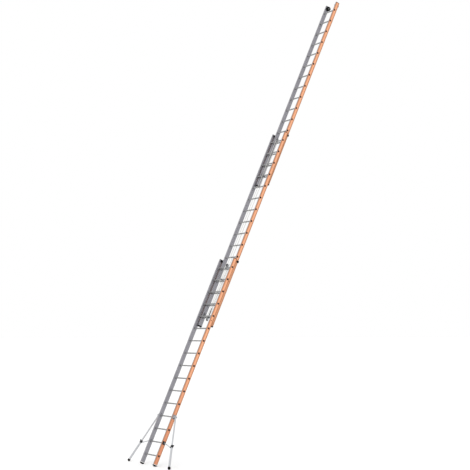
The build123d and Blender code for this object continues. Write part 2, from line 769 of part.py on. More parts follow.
# ==== outriggers ===============================================================================
LEG_Y = base.stile_y
hinge = Vector(base.half + HINGE_OUT, LEG_Y, hinge_z)
link_hinge = Vector(base.half + LINK_OUT, LEG_Y, link_hinge_z)
foot = Vector(FOOT_X, LEG_Y, (FOOT_R - SOLE_R) / cos(radians(LEAN)))
leg_length = (foot - hinge).length
leg_angle = atan2(foot.X - hinge.X, hinge.Z - foot.Z)
down_leg = Vector(sin(leg_angle), 0, -cos(leg_angle))
inward = Vector(-cos(leg_angle), 0, -sin(leg_angle))
collar_point = hinge + down_leg * COLLAR_AT
lug_point = collar_point + inward * LUG_OFFSET
knob_point = collar_point - inward * COLLAR_R


def mirrored(point, side):
    """The point on the climber's right (side 1) or left (side -1)."""
    return Vector(side * point.X, point.Y, point.Z)


def leg_plane(side, distance):
    """Plane square to one leg, at a distance down from its hinge, its normal pointing down."""
    origin = mirrored(hinge + down_leg * distance, side)
    return Plane(origin=origin, x_dir=(0, 1, 0), z_dir=mirrored(down_leg, side))


def facing(y):
    """Plane square to Y: its own x is X, its own y is Z and its normal points to the front."""
    return Plane(origin=(0, y, 0), x_dir=(1, 0, 0), z_dir=(0, -1, 0))


def at(point, side):
    """A point's place in a facing() plane."""
    return (side * point.X, point.Z)


def add_ears(side, pin, spread, size):
    """A plate on the stile's outer face with two ears that hold a hinge pin."""
    ear_r, root_half, plate_half = size
    face = side * (base.half + SEAT_GAP)
    root = face + side * EAR_ROOT_IN
    with BuildSketch(across(face)) as plate:
        with Locations((LEG_Y, pin.Z)):
            RectangleRounded(PLATE_DEPTH, 2 * plate_half, PLATE_CORNER)
    extrude(plate.sketch, amount=side * (PLATE_THICK - SEAT_GAP))
    with BuildSketch(across(face)) as bolt_holes:
        with Locations(*bracket_places):
            Circle(BOLT_HOLE_R)
    for ear in (-1, 1):
        with BuildSketch(facing(LEG_Y + ear * spread)) as ear_shape:
            with Locations(at(pin, side)):
                Circle(ear_r)
            with BuildLine():
                Polyline(
                    (root, pin.Z + root_half),
                    (side * pin.X, pin.Z + ear_r),
                    (side * pin.X, pin.Z - ear_r),
                    (root, pin.Z - root_half),
                    close=True,
                )
            make_face()
            with Locations(at(pin, side)):
                Circle(PIN_R + SEAT_GAP, mode=Mode.SUBTRACT)
        extrude(ear_shape.sketch, amount=-ear * EAR_THICK)
    extrude(bolt_holes.sketch, amount=side * PLATE_THICK, mode=Mode.SUBTRACT)


def add_pin(side, point, spread):
    """A hinge pin along Y, headed outside each ear."""
    reach = spread + EAR_THICK
    with BuildSketch(facing(LEG_Y + reach)) as shank:
        with Locations(at(point, side)):
            Circle(PIN_R)
    extrude(shank.sketch, amount=2 * reach)
    for ear in (-1, 1):
        with BuildSketch(facing(LEG_Y + ear * (reach + SEAT_GAP))) as pin_head:
            with Locations(at(point, side)):
                Circle(PIN_HEAD_R)
        extrude(pin_head.sketch, amount=-ear * PIN_HEAD)
        with BuildSketch(facing(LEG_Y + ear * reach)) as neck:
            with Locations(at(point, side)):
                Circle(PIN_R)
        extrude(neck.sketch, amount=-ear * CUT_OVER)


tube_spread = TUBE_R + EAR_GAP
link_spread = LINK_THICK / 2 + EAR_GAP

with BuildPart() as outrigger_top_brackets:
    for side in (-1, 1):
        add_ears(side, hinge, tube_spread, TOP_EAR)
write(outrigger_top_brackets, "outrigger_top_brackets")

with BuildPart() as outrigger_bottom_brackets:
    for side in (-1, 1):
        add_ears(side, link_hinge, link_spread, BOTTOM_EAR)
write(outrigger_bottom_brackets, "outrigger_bottom_brackets")

with BuildPart() as outrigger_hinge_pins:
    for side in (-1, 1):
        add_pin(side, hinge, tube_spread)
        add_pin(side, link_hinge, link_spread)
write(outrigger_hinge_pins, "outrigger_hinge_pins")

for side, hand in ((-1, "left"), (1, "right")):
    with BuildPart() as inner_tube:
        with BuildSketch(leg_plane(side, -TUBE_ABOVE)):
            Circle(TUBE_R)
            Circle(TUBE_R - TUBE_WALL, mode=Mode.SUBTRACT)
        extrude(amount=SLEEVE_TOP + TUBE_OVERLAP + TUBE_ABOVE)
        with BuildSketch(facing(LEG_Y + TUBE_R + CUT_OVER)):
            with Locations(at(hinge, side)):
                Circle(PIN_R + RUNNING_FIT)
        extrude(amount=2 * (TUBE_R + CUT_OVER), mode=Mode.SUBTRACT)
    write(inner_tube, f"outrigger_inner_tube_{hand}")

    sleeve_length = leg_length - SLEEVE_TOP - FOOT_R + SLEEVE_INTO_FOOT
    with BuildPart() as outer_tube:
        with BuildSketch(leg_plane(side, SLEEVE_TOP)):
            Circle(SLEEVE_R)
            Circle(SLEEVE_R - SLEEVE_WALL, mode=Mode.SUBTRACT)
        extrude(amount=sleeve_length)
        with BuildSketch(leg_plane(side, SLEEVE_TOP)):
            Circle(SLEEVE_R - SLEEVE_WALL / 2)
            Circle(TUBE_R + COLLAR_GAP, mode=Mode.SUBTRACT)
        extrude(amount=SLEEVE_BUSH)
    write(outer_tube, f"outrigger_outer_tube_{hand}")

    sleeve_end = SLEEVE_TOP + sleeve_length
    with BuildPart() as ball_foot:
        with Locations(mirrored(foot, side)):
            Sphere(FOOT_R)
        with BuildSketch(leg_plane(side, sleeve_end - SPIGOT_UP)):
            Circle(SLEEVE_R - SLEEVE_WALL - SPIGOT_GAP)
        extrude(amount=SPIGOT_UP + SPIGOT_DOWN)
        with BuildSketch(leg_plane(side, sleeve_end + SPIGOT_GAP)):
            Circle(SLEEVE_R + FOOT_FLANGE)
        extrude(amount=FOOT_FLANGE_THICK)
    write(ball_foot, f"outrigger_foot_{hand}")

    with BuildPart() as collar:
        with BuildSketch(leg_plane(side, COLLAR_AT - COLLAR_LENGTH / 2)):
            Circle(COLLAR_R)
        extrude(amount=COLLAR_LENGTH)
        for lug in (-1, 1):
            with BuildSketch(facing(LEG_Y + lug * link_spread)):
                with Locations(at(lug_point, side)):
                    Circle(LUG_R)
                with BuildLine():
                    half_lug = down_leg * LUG_R
                    Polyline(
                        at(lug_point - half_lug, side),
                        at(lug_point + half_lug, side),
                        at(collar_point + half_lug, side),
                        at(collar_point - half_lug, side),
                        close=True,
                    )
                make_face()
            extrude(amount=-lug * EAR_THICK)
            with BuildSketch(facing(LEG_Y + lug * (link_spread + EAR_THICK))):
                with Locations(at(lug_point, side)):
                    RegularPolygon(BOLT_HEAD_R, 6)
            extrude(amount=-lug * BOLT_HEAD)
        with BuildSketch(leg_plane(side, COLLAR_AT - COLLAR_LENGTH / 2 - CUT_OVER)):
            Circle(SLEEVE_R + COLLAR_GAP)
        extrude(amount=COLLAR_LENGTH + 2 * CUT_OVER, mode=Mode.SUBTRACT)
    write(collar, f"outrigger_collar_{hand}")

    knob_plane = Plane(
        origin=mirrored(knob_point, side), x_dir=(0, 1, 0), z_dir=mirrored(inward * -1, side)
    )
    with BuildPart() as knob:
        with BuildSketch(knob_plane.offset(KNOB_SEAT)):
            Circle(KNOB_STEM_R)
        extrude(amount=KNOB_STEM)
        with BuildSketch(knob_plane.offset(KNOB_STEM)):
            Circle(KNOB_R)
            with PolarLocations(KNOB_SCOOP_AT, KNOB_LOBES):
                Circle(KNOB_SCOOP_R, mode=Mode.SUBTRACT)
        extrude(amount=KNOB_THICK)
    write(knob, f"outrigger_knob_{hand}")

    along = (lug_point - link_hinge).normalized()
    up_link = Vector(-along.Z, 0, along.X) * (LINK_HEIGHT / 2)
    with BuildPart() as link:
        with BuildSketch(facing(LEG_Y + LINK_THICK / 2)):
            with Locations(at(link_hinge, side), at(lug_point, side)):
                Circle(LINK_HEIGHT / 2)
            with BuildLine():
                Polyline(
                    at(link_hinge + up_link, side),
                    at(lug_point + up_link, side),
                    at(lug_point - up_link, side),
                    at(link_hinge - up_link, side),
                    close=True,
                )
            make_face()
            with Locations(at(link_hinge, side)):
                Circle(PIN_R + RUNNING_FIT, mode=Mode.SUBTRACT)
        extrude(amount=LINK_THICK)
    write(link, f"outrigger_link_{hand}")
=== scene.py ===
"""Looks of a three-section extension ladder with side outriggers: ropes, springs, trims and finishes."""

import json
from math import cos, pi, sin, tau

import bmesh
import bpy
from bpy.props import FloatProperty, FloatVectorProperty, IntProperty, PointerProperty
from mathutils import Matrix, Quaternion, Vector


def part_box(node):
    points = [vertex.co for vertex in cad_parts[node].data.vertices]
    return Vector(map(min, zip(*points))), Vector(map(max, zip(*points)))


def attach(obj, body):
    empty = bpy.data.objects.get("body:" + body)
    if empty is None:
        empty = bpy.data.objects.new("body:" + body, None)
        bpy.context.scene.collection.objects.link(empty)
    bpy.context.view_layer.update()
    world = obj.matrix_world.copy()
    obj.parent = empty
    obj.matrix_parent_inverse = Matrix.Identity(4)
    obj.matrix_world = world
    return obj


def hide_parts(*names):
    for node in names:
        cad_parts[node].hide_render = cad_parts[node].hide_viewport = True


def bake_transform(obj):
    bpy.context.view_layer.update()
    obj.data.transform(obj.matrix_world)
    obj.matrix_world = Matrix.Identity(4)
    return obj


bl_info = {
    "name": "Extension ladder",
    "version": (1, 0, 0),
    "blender": (4, 5, 0),
    "location": "3D View > Sidebar > Ladder",
    "description": "Ropes, springs, trims, finishes and stage for an extension ladder",
    "category": "Object",
}

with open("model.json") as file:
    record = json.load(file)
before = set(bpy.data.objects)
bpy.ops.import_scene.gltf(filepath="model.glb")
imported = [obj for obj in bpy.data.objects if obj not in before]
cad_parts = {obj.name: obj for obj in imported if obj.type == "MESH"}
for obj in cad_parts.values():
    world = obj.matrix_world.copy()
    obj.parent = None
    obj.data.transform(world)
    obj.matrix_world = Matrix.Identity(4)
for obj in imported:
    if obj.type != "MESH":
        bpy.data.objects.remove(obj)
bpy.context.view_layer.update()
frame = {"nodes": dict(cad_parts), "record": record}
JOINTS = {joint["name"]: joint for joint in frame["record"]["behaviour"]["joints"]}
ALONG = Vector(JOINTS["mid_slide"]["axis"]).normalized()  # up the stiles
BEHIND = Vector(JOINTS["outrigger_hinge_right"]["axis"]).normalized()  # square to the rungs' plane
ACROSS = Vector((1, 0, 0))
SECTIONS = ("base", "mid", "top")
PITCH = 0.28  # between rungs
STILE_DEPTH = 0.086
STILE_WIDTH = 0.034
STILE_CORNER = 0.005
BAND_HALF = 0.019  # half the width of the recessed band down the outer faces
FILM_WRAP = 0.0052  # how far the film wraps round the outer corners
FILM_TILT = 0.12  # least outward tilt of a face under the film
SEALANT_R = (0.0225, 0.026)  # radii between which the sealant round a rung end fades out
BEAD_R = 0.018
BORE_SHADE_R = (0.0122, 0.0126)  # radii between which the painted shade inside a rung's hollow gives way to the tube's colour
RIB_PITCH = 0.006  # between the ribs round a rung
GROOVE = 0.14  # depth of the grooves between rope strands, as a share of the rope's radius
TWIST_STEPS = 12  # rings in one full twist of a rope
ROPE_CORNERS = 18
HOOK_INSET = 0.032  # from the outer side of a lock bracket to its hook
SPRING_INSET = 0.018  # from a hook to the middle of its spring
SPRING_LENGTH = 0.024
COIL_STEPS = 16
WIRE_CORNERS = 8
SLEEVE_LIFT = 0.002  # from the rope clamp to the rope sleeve
SLEEVE_FIT = 0.0008  # gap between the sleeve and its rope
RIB_DEPTH = 0.0012
RIB_STEPS = 4
SLEEVE_CORNERS = 24
TRIM_LIFT = 0.001  # from a stile's end to the trim round it
TRIM_FIT = 0.0004
TRIM_OUT = 0.0022  # how far the trims stand out from the stile
CORNER_STEPS = 4
DUST = (0.05, 0.049, 0.046)
SOIL = (0.3, 0.28, 0.24)
WORN_CASTING = (0.2, 0.2, 0.21)


def first_rung(section):
    """Middle of a section's lowest rung, from the box of its rungs."""
    low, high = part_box(f"{section}_rungs")
    return Vector((0, low.y + BEAD_R, low.z + BEAD_R))


def stile_foot(node):
    """Middle of a stile's lower end."""
    low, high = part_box(node)
    half = STILE_DEPTH / 2
    return Vector(((low.x + high.x) / 2, low.y + half * BEHIND.y, low.z - half * BEHIND.z))


FIRST_RUNG = {section: first_rung(section) for section in SECTIONS}


# ---- settings ----------------------------------------------------------------------------------
def colour(label, description, default):
    """A colour setting."""
    return FloatVectorProperty(
        name=label, description=description, default=default, subtype="COLOR", min=0, max=1
    )


def length(label, description, default):
    """A length setting, in metres."""
    return FloatProperty(name=label, description=description, default=default, unit="LENGTH", min=0)


class LadderRopes(bpy.types.PropertyGroup):
    """Sizes of the ropes."""

    radius: length("Rope radius", "Half the rope's thickness", 0.005)
    pitch: length("Lay length", "Length of one full twist of the strands", 0.036)
    strands: IntProperty(name="Strands", description="Strands twisted into the rope", default=3, min=2)


class LadderTrims(bpy.types.PropertyGroup):
    """Sizes of the small fittings."""

    wire: length("Spring wire", "Radius of the lock springs' wire", 0.0011)
    coil: length("Spring coil", "Radius of the lock springs' coils", 0.0092)
    turns: IntProperty(name="Spring turns", description="Coils in a lock spring", default=8, min=2)
    sleeve: length("Sleeve length", "Length of the rubber sleeve on the hauling rope", 0.19)
    sleeve_r: length("Sleeve radius", "Outer radius of that sleeve", 0.0086)
    ribs: IntProperty(name="Sleeve ribs", description="Ribs along the sleeve", default=12, min=2)
    band: length("Shoe band", "Height of the pale band above a shoe", 0.012)
    end_sleeve: length("End sleeve", "Height of the black sleeve on a sliding stile", 0.018)


class LadderColours(bpy.types.PropertyGroup):
    """Colours of the finishes."""

    orange: colour("Orange film", "Film on the outer faces of the stiles", (0.76, 0.35, 0.19))
    # the film is coloured darker and redder towards the bottom of the stiles
    low_orange: colour("Low film", "Deeper film near the ground", (0.66, 0.24, 0.125))
    # the film on the lips either side of the middle band is coloured darker
    edge: colour("Film edges", "Film beside the recessed band", (0.46, 0.19, 0.08))
    sealant: colour("Sealant", "Dark rings round the rung ends", (0.05, 0.014, 0.008))
    aluminium: colour("Aluminium", "Bare faces of the stiles", (0.30, 0.295, 0.32))
    rung: colour("Rung", "Ribbed rung tube", (0.33, 0.33, 0.33))
    leg: colour("Leg", "Anodised outrigger tube", (0.50, 0.51, 0.53))
    zinc: colour("Zinc", "Plated fittings", (0.42, 0.43, 0.45))
    # also used as the painted shade inside the open ends of the rungs
    casting: colour("Casting", "Dark cast fittings", (0.022, 0.022, 0.025))
    rubber: colour("Rubber", "Shoes, feet and wheels", (0.004, 0.004, 0.004))
    plastic: colour("Plastic", "Caps, guides, knobs and pulleys", (0.006, 0.006, 0.007))
    rope: colour("Rope", "Laid rope", (0.62, 0.61, 0.57))
    sleeve: colour("Rope sleeve", "Ribbed sleeve on the hauling rope", (0.012, 0.011, 0.013))
    band: colour("Shoe band", "Pale bands above the shoes", (0.55, 0.55, 0.54))
    floor: colour("Floor", "Pale studio floor", (0.93, 0.93, 0.93))


# ---- shader maths ------------------------------------------------------------------------------
class Wire:
    """A value socket that can be used in Python expressions."""

    def __init__(self, finish, socket):
        self.finish = finish
        self.socket = socket

    def maths(self, operation, *values):
        """A Math node on this value and others."""
        return self.finish.node("ShaderNodeMath", {"operation": operation}, dict(enumerate(values)))

    def __add__(self, other):
        return self.maths("ADD", self, other)

    def __sub__(self, other):
        return self.maths("SUBTRACT", self, other)

    def __rsub__(self, other):
        return self.maths("SUBTRACT", other, self)

    def __mul__(self, other):
        return self.maths("MULTIPLY", self, other)

    def __gt__(self, other):
        return self.maths("GREATER_THAN", self, other)

    def __abs__(self):
        return self.maths("ABSOLUTE", self)

    __radd__ = __add__
    __rmul__ = __mul__

    def sign(self):
        """-1, 0 or 1."""
        return self.maths("SIGN", self)

    def sine(self):
        """The sine of the value."""
        return self.maths("SINE", self)

    def root(self):
        """The square root of the value."""
        return self.maths("SQRT", self)

    def wrapped(self, low, high):
        """The value folded into a repeating interval."""
        return self.maths("WRAP", self, high, low)

    def ramp(self, low, high):
        """0 below low, 1 above high and a smooth step between."""
        return self.finish.node(
            "ShaderNodeMapRange",
            {"interpolation_type": "SMOOTHSTEP"},
            {"Value": self, "From Min": low, "From Max": high},
        )


class Finish:
    """A material under construction."""

    def __init__(self, name):
        self.material = bpy.data.materials.new(name)
        self.material.use_nodes = True
        self.tree = self.material.node_tree
        self.surface = self.tree.nodes["Principled BSDF"]
        place = self.tree.nodes.new("ShaderNodeTexCoord")
        self.place = Wire(self, place.outputs["Object"])
        self.facing = Wire(self, place.outputs["Normal"])

    def node(self, kind, settings, values, output=0):
        """A node of a type, with its settings and then the values or links of its sockets."""
        made = self.tree.nodes.new(kind)
        for key, value in settings.items():
            setattr(made, key, value)
        for key, value in values.items():
            self.feed(made.inputs[key], value)
        return Wire(self, made.outputs[output])

    def feed(self, socket, value):
        """Links or sets one socket."""
        if isinstance(value, Wire):
            self.tree.links.new(value.socket, socket)
        elif socket.type == "RGBA":
            socket.default_value = (*value[:3], 1)
        else:
            socket.default_value = value

    def dot(self, direction):
        """Distance of the place along a direction."""
        return self.node(
            "ShaderNodeVectorMath",
            {"operation": "DOT_PRODUCT"},
            {0: self.place, 1: tuple(direction)},
            output="Value",
        )

    def rung_distance(self, section):
        """Distance from the axis of the nearest rung of a section."""
        first = FIRST_RUNG[section]
        along = (self.dot(ALONG) - first.dot(ALONG)).wrapped(-PITCH / 2, PITCH / 2)
        behind = self.dot(BEHIND) - first.dot(BEHIND)
        return (along * along + behind * behind).root()

    def grain(self, across, along, detail):
        """Noise drawn out along the stiles, with its fineness across and along them."""
        spot = self.node(
            "ShaderNodeCombineXYZ",
            {},
            {
                0: self.dot(ACROSS) * across,
                1: self.dot(BEHIND) * across,
                2: self.dot(ALONG) * along,
            },
        )
        return self.node("ShaderNodeTexNoise", {}, {"Vector": spot, "Scale": 1.0, "Detail": detail})

    def noise(self, scale, detail=2.0, rough=0.5):
        """Even noise."""
        return self.node(
            "ShaderNodeTexNoise",
            {},
            {"Vector": self.place, "Scale": scale, "Detail": detail, "Roughness": rough},
        )

    def mix(self, factor, first, second):
        """One colour fading into another."""
        return self.node(
            "ShaderNodeMix",
            {"data_type": "RGBA"},
            {0: factor, 6: first, 7: second},
            output=2,
        )

    def bump(self, height, strength, distance=0.001):
        """Fine relief on the normal."""
        normal = self.node(
            "ShaderNodeBump", {}, {"Strength": strength, "Distance": distance, "Height": height}
        )
        self.feed(self.surface.inputs["Normal"], normal)

    def set(self, **values):
        """Sets or links sockets of the surface shader by name."""
        for key, value in values.items():
            self.feed(self.surface.inputs[key.replace("_", " ")], value)


def shade(tint, amount):
    """A colour made lighter or darker."""
    return tuple(min(1, channel * amount) for channel in tint)


# ---- finishes ----------------------------------------------------------------------------------
def stile_finish(section, colours):
    """Bare drawn aluminium; on the outer face an orange film, paler in the recessed band, with dark
    sealant round the rung ends."""
    finish = Finish(f"{section}_stile_finish")
    stile = f"{section}_stile_right"
    outer_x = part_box(stile)[1].x
    x = finish.dot(ACROSS)
    off_middle = abs(finish.dot(BEHIND) - stile_foot(stile).dot(BEHIND))
    facing_x = finish.node("ShaderNodeSeparateXYZ", {}, {0: finish.facing}, output="X")
    film = (abs(x) > outer_x - FILM_WRAP) * ((facing_x * x.sign()) > FILM_TILT)
    drawn = finish.grain(700, 5, 3.0)
    cloud = finish.noise(6.0, 4.0)
    rubbed = finish.grain(220, 26, 4.0).ramp(0.66, 0.78)
    metal = finish.mix(drawn, shade(colours.aluminium, 0.84), shade(colours.aluminium, 1.16))
    metal = finish.mix(cloud.ramp(0.45, 0.75) * 0.35, metal, shade(colours.aluminium, 0.78))
    orange = finish.mix(cloud, colours.orange, shade(colours.orange, 1.12))
    orange = finish.mix(rubbed * 0.35, orange, shade(colours.orange, 1.5))
    # the film is coloured darker and redder towards the bottom of the stiles
    orange = finish.mix(1 - finish.dot(ALONG).ramp(0.0, 2.6), orange, colours.low_orange)
    # the film on the lips either side of the middle band is coloured darker
    orange = finish.mix(off_middle.ramp(BAND_HALF - 0.001, BAND_HALF + 0.004), orange, colours.edge)
    ring = finish.rung_distance(section)
    sealant = 1 - (ring + cloud * 0.004).ramp(*SEALANT_R)
    orange = finish.mix(sealant, orange, colours.sealant)
    finish.set(
        Base_Color=finish.mix(film, metal, orange),
        Metallic=(1 - film) * 0.75,
        Roughness=0.42 + drawn * 0.12 + rubbed * 0.1,
    )
    finish.bump(drawn + sealant * film * 2.0, 0.12, 0.0004)
    return finish.material


def rung_finish(section, colours):
    """Ribbed rung tube with a slip-resistant pattern, the ribs painted lighter than the painted shade in
    the grooves between them, and painted shade inside its open ends.
    """
    finish = Finish(f"{section}_rung_finish")
    # painted shade inside the open ends of a rung: the dark casting colour, less metallic and rougher
    bore_shade = 1 - finish.rung_distance(section).ramp(*BORE_SHADE_R)
    ridge = (finish.dot(ACROSS) * (tau / RIB_PITCH)).sine().ramp(0.1, 0.6)
    cloud = finish.noise(12.0, 4.0)
    nicks = finish.noise(150.0, 3.0, 0.7).ramp(0.6, 0.72)
    # painted shade in the grooves between the ribs, with the ribs painted lighter
    tone = finish.mix(ridge, shade(colours.rung, 0.8), shade(colours.rung, 1.15))
    tone = finish.mix(cloud.ramp(0.5, 0.8) * 0.4, tone, shade(colours.rung, 0.7))
    tone = finish.mix(nicks * 0.3, tone, shade(colours.rung, 1.6))
    finish.set(
        Base_Color=finish.mix(bore_shade, tone, colours.casting),
        Metallic=0.75 - bore_shade * 0.6,
        Roughness=0.4 + cloud * 0.12 + bore_shade * 0.3,
    )
    finish.bump(ridge + nicks * 0.5, 0.2, 0.0004)
    return finish.material


def drawn_finish(name, tint, metallic, roughness):
    """Drawn or plated metal with fine lines, dull patches and small nicks."""
    finish = Finish(name)
    lines = finish.grain(900, 30, 3.0)
    cloud = finish.noise(9.0, 4.0)
    nicks = finish.noise(160.0, 3.0, 0.7).ramp(0.62, 0.72)
    tone = finish.mix(lines, shade(tint, 0.82), shade(tint, 1.15))
    tone = finish.mix(cloud.ramp(0.5, 0.8) * 0.4, tone, shade(tint, 0.72))
    finish.set(
        Base_Color=finish.mix(nicks * 0.3, tone, shade(tint, 1.35)),
        Metallic=metallic,
        Roughness=roughness + cloud * 0.12 + nicks * 0.08,
    )
    finish.bump(lines + nicks * 0.6, 0.14, 0.0004)
    return finish.material


def moulded_finish(name, tint, roughness, fineness):
    """Moulded plastic or rubber: fine pebbling, dust in the hollows and scuffed patches."""
    finish = Finish(name)
    pebble = finish.noise(fineness, 2.0)
    cloud = finish.noise(22.0, 5.0, 0.6)
    dust = finish.noise(70.0, 4.0, 0.7).ramp(0.58, 0.8)
    tone = finish.mix(cloud, shade(tint, 0.8), shade(tint, 1.7))
    finish.set(
        Base_Color=finish.mix(dust * 0.2, tone, DUST),
        Roughness=roughness + cloud * 0.16 + dust * 0.1,
        Specular_IOR_Level=0.12,
    )
    finish.bump(pebble + dust * 0.4, 0.25, 0.0006)
    return finish.material


def cast_finish(name, tint):
    """Dark painted casting with a sandy skin and bright rubbed spots."""
    finish = Finish(name)
    sand = finish.noise(420.0, 3.0, 0.7)
    cloud = finish.noise(30.0, 4.0)
    rubbed = finish.noise(85.0, 5.0, 0.75).ramp(0.68, 0.78)
    tone = finish.mix(cloud, shade(tint, 0.75), shade(tint, 1.5))
    finish.set(
        Base_Color=finish.mix(rubbed * 0.5, tone, WORN_CASTING),
        Metallic=0.2 + rubbed * 0.6,
        Roughness=0.5 + sand * 0.2,
    )
    finish.bump(sand, 0.3, 0.0005)
    return finish.material


def rope_finish(tint, ropes):
    """Laid rope: slanting strands with painted shade in the lines between them and a fuzzy surface."""
    finish = Finish("rope_finish")
    lay = (finish.dot(ALONG) * (tau / ropes.pitch * ropes.strands)).sine()
    fibre = finish.grain(1600, 300, 2.0)
    soil = finish.noise(14.0, 4.0)
    # painted shade in the lines where the strands meet
    tone = finish.mix(lay.ramp(-1.0, -0.2), shade(tint, 0.62), tint)
    tone = finish.mix(fibre.ramp(0.4, 0.7) * 0.35, tone, shade(tint, 0.8))
    finish.set(
        Base_Color=finish.mix(soil.ramp(0.5, 0.8) * 0.35, tone, SOIL),
        Roughness=0.86 + fibre * 0.1,
    )
    finish.bump(fibre + lay * 0.5, 0.35, 0.0006)
    return finish.material


# ---- mesh helpers ------------------------------------------------------------------------------
def mesh_object(name, points, faces):
    """A smooth-shaded mesh object with outward faces."""
    mesh = bpy.data.meshes.new(name)
    mesh.from_pydata([tuple(point) for point in points], [], faces)
    shape = bmesh.new()
    shape.from_mesh(mesh)
    bmesh.ops.recalc_face_normals(shape, faces=shape.faces)
    shape.to_mesh(mesh)
    shape.free()
    for polygon in mesh.polygons:
        polygon.use_smooth = True
    made = bpy.data.objects.new(name, mesh)
    bpy.context.scene.collection.objects.link(made)
    return made


def skin(rings, closed=False):
    """Faces that join rings of equal size, with flat ends unless the rings close on themselves."""
    count = len(rings[0])
    points = [point for ring in rings for point in ring]
    faces = []
    spans = len(rings) if closed else len(rings) - 1
    for ring in range(spans):
        here, there = ring * count, (ring + 1) % len(rings) * count
        for corner in range(count):
            after = (corner + 1) % count
            faces.append((here + corner, here + after, there + after, there + corner))
    if not closed:
        faces.append(tuple(range(count)))
        faces.append(tuple(range(len(points) - count, len(points))))
    return points, faces


def paint(piece, material):
    """Gives a piece its only material."""
    piece.data.materials.append(material)


def strand_ends(node, radius):
    """Lower and upper end of the centre line of a straight run of rope."""
    low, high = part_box(node)
    inset = Vector((radius, radius * BEHIND.y, -radius * BEHIND.z))
    return low + inset, high - inset


def laid_rope(name, start, end, ropes):
    """A straight rope whose strands twist round each other."""
    run = end - start
    rings = []
    steps = int(run.length / ropes.pitch * TWIST_STEPS)
    for step in range(steps + 1):
        centre = start + run * (step / steps)
        turn = tau * run.length * step / steps / ropes.pitch
        ring = []
        for corner in range(ROPE_CORNERS):
            angle = tau * corner / ROPE_CORNERS
            lobe = abs(cos((angle - turn) * ropes.strands / 2))
            reach = ropes.radius * (1 - GROOVE + GROOVE * lobe)
            ring.append(centre + (ACROSS * cos(angle) + BEHIND * sin(angle)) * reach)
        rings.append(ring)
    return mesh_object(name, *skin(rings))


# ---- operators ---------------------------------------------------------------------------------
class LADDER_OT_ropes(bpy.types.Operator):
    """Lay the five straight runs of rope between their pulleys and clamps"""

    bl_idname = "ladder.ropes"
    bl_label = "Rope runs"

    RUNS = (
        ("haul_rope_run", "mid", "base"),
        ("loop_rope_front_low", "mid", "base"),
        ("loop_rope_front_high", "base", "mid"),
        ("loop_rope_back_low", "mid", "top"),
        ("loop_rope_back_high", "top", "mid"),
    )

    def execute(self, context):
        ropes = context.scene.ladder_ropes
        material = rope_finish(context.scene.ladder_colours.rope, ropes)
        for node, low_body, high_body in self.RUNS:
            start, end = strand_ends(node, ropes.radius)
            rope = laid_rope(node + "_laid", start, end, ropes)
            paint(rope, material)
            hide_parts(node)
            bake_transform(rope)
        return {"FINISHED"}


class LADDER_OT_springs(bpy.types.Operator):
    """Wind the coil springs on the two lock shafts"""

    bl_idname = "ladder.springs"
    bl_label = "Lock springs"

    def execute(self, context):
        trims = context.scene.ladder_trims
        material = drawn_finish("spring_finish", context.scene.ladder_colours.zinc, 0.9, 0.28)
        for section in ("mid", "top"):
            pivot = Vector(JOINTS[f"{section}_lock_turn"]["pos_m"])
            hook_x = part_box(f"{section}_lock_brackets")[1].x - HOOK_INSET
            for side, hand in ((-1, "left"), (1, "right")):
                middle = pivot + ACROSS * side * (hook_x - SPRING_INSET)
                spring = self.wind(f"{section}_lock_spring_{hand}", middle, trims)
                paint(spring, material)
                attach(spring, section)
        return {"FINISHED"}

    def wind(self, name, middle, trims):
        """A coil of round wire along X."""
        rings = []
        steps = trims.turns * COIL_STEPS
        for step in range(steps + 1):
            angle = tau * trims.turns * step / steps
            outward = BEHIND * cos(angle) + ALONG * sin(angle)
            along = ACROSS * (SPRING_LENGTH * (step / steps - 0.5))
            centre = middle + along + outward * trims.coil
            ring = []
            for corner in range(WIRE_CORNERS):
                turn = tau * corner / WIRE_CORNERS
                ring.append(centre + (outward * cos(turn) + ACROSS * sin(turn)) * trims.wire)
            rings.append(ring)
        return mesh_object(name, *skin(rings))


class LADDER_OT_sleeve(bpy.types.Operator):
    """Slip the ribbed rubber sleeve over the lower end of the hauling rope, above its clamp"""

    bl_idname = "ladder.sleeve"
    bl_label = "Rope sleeve"

    def execute(self, context):
        trims = context.scene.ladder_trims
        rope_r = context.scene.ladder_ropes.radius
        foot = strand_ends("haul_rope_run", rope_r)[0] + ALONG * SLEEVE_LIFT
        inner = rope_r + SLEEVE_FIT
        profile = [(inner, trims.sleeve), (inner, 0.0)]
        steps = trims.ribs * RIB_STEPS
        for step in range(steps + 1):
            dip = RIB_DEPTH if step % RIB_STEPS >= RIB_STEPS / 2 else 0.0
            profile.append((trims.sleeve_r - dip, trims.sleeve * step / steps))
        rings = []
        for corner in range(SLEEVE_CORNERS):
            angle = tau * corner / SLEEVE_CORNERS
            outward = ACROSS * cos(angle) + BEHIND * sin(angle)
            rings.append([foot + outward * reach + ALONG * rise for reach, rise in profile])
        sleeve = mesh_object("haul_rope_sleeve", *skin(rings, closed=True))
        material = moulded_finish("sleeve_finish", context.scene.ladder_colours.sleeve, 0.6, 500.0)
        paint(sleeve, material)
        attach(sleeve, "mid")
        return {"FINISHED"}


